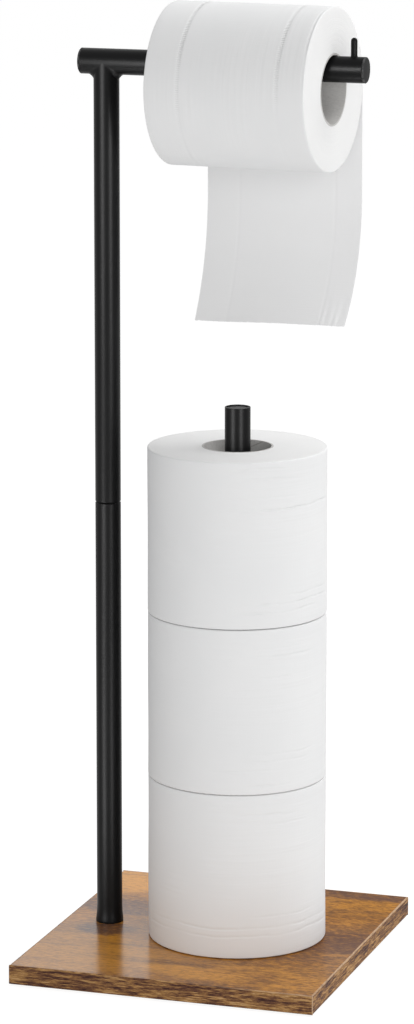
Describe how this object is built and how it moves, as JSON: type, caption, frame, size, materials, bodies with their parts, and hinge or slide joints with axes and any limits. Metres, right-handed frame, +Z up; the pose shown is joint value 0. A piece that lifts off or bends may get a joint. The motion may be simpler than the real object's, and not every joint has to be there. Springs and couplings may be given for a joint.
{
  "type": "toilet roll storage holder",
  "caption": "Free-standing toilet roll holder: a wood-effect board carries a black pole with a side arm for the roll in use, and a post that stores spare rolls.",
  "frame": {"origin": "on the floor under the middle of the base board, at the underside of the foot pads", "axes": "+X runs along the board's front edge to the right, the way the arm points; +Y runs to the back; +Z is up, along the pole"},
  "size_m": [0.195, 0.215, 0.5995],
  "materials": {
    "wood_laminate": "satin",
    "wood_edge_band": "satin",
    "particle_board": "matte",
    "foam_pad": "matte",
    "black_coated_steel": "satin",
    "zinc_plated_steel": "satin",
    "wound_tissue": "matte",
    "tissue_sheet": "matte",
    "core_cardboard": "matte"
  },
  "bodies": {
    "stand": {"base_core": "particle_board", "top_laminate": "wood_laminate", "bottom_laminate": "wood_laminate", "edge_band_front": "wood_edge_band", "edge_band_back": "wood_edge_band", "edge_band_left": "wood_edge_band", "edge_band_right": "wood_edge_band", "foot_pad_front_left": "foam_pad", "foot_pad_front_right": "foam_pad", "foot_pad_back_left": "foam_pad", "foot_pad_back_right": "foam_pad", "base_bolts": "zinc_plated_steel", "base_washers": "zinc_plated_steel", "lower_pole": "black_coated_steel", "lower_pole_foot_insert": "zinc_plated_steel", "lower_pole_top_insert": "zinc_plated_steel", "pole_stud": "zinc_plated_steel", "upper_pole": "black_coated_steel", "upper_pole_insert": "zinc_plated_steel", "arm_tube": "black_coated_steel", "arm_weld": "black_coated_steel", "arm_front_cap": "black_coated_steel", "arm_rear_cap": "black_coated_steel", "stop_pin": "black_coated_steel", "storage_post": "black_coated_steel", "storage_post_insert": "zinc_plated_steel", "storage_post_cap": "black_coated_steel"},
    "hanging_sheet": {"hung_sheet": "tissue_sheet"},
    "hung_roll": {"hung_roll_paper": "wound_tissue", "hung_roll_core": "core_cardboard"},
    "spare_lower": {"spare_lower_paper": "wound_tissue", "spare_lower_core": "core_cardboard"},
    "spare_middle": {"spare_middle_paper": "wound_tissue", "spare_middle_core": "core_cardboard"},
    "spare_upper": {"spare_upper_paper": "wound_tissue", "spare_upper_core": "core_cardboard"}
  },
  "joints": [
    {"name": "hung_roll_slide", "type": "slide", "parent": "stand", "child": "hanging_sheet", "axis": [1, 0, 0], "range_m": [-0.031, 0.0085]},
    {"name": "hung_roll_spin", "type": "hinge", "parent": "hanging_sheet", "child": "hung_roll", "pos_m": [0.02566, 0, 0.54897], "axis": [0.9969, -0.0785, 0], "continuous": true},
    {"name": "spare_lower_lift", "type": "slide", "parent": "stand", "child": "spare_lower", "axis": [0, 0, 1], "range_m": [0, 0.015]},
    {"name": "spare_middle_lift", "type": "slide", "parent": "spare_lower", "child": "spare_middle", "axis": [0, 0, 1], "range_m": [0, 0.015]},
    {"name": "spare_upper_lift", "type": "slide", "parent": "spare_middle", "child": "spare_upper", "axis": [0, 0, 1], "range_m": [0, 0.135], "deforming": ["hung_sheet"]}
  ]
}
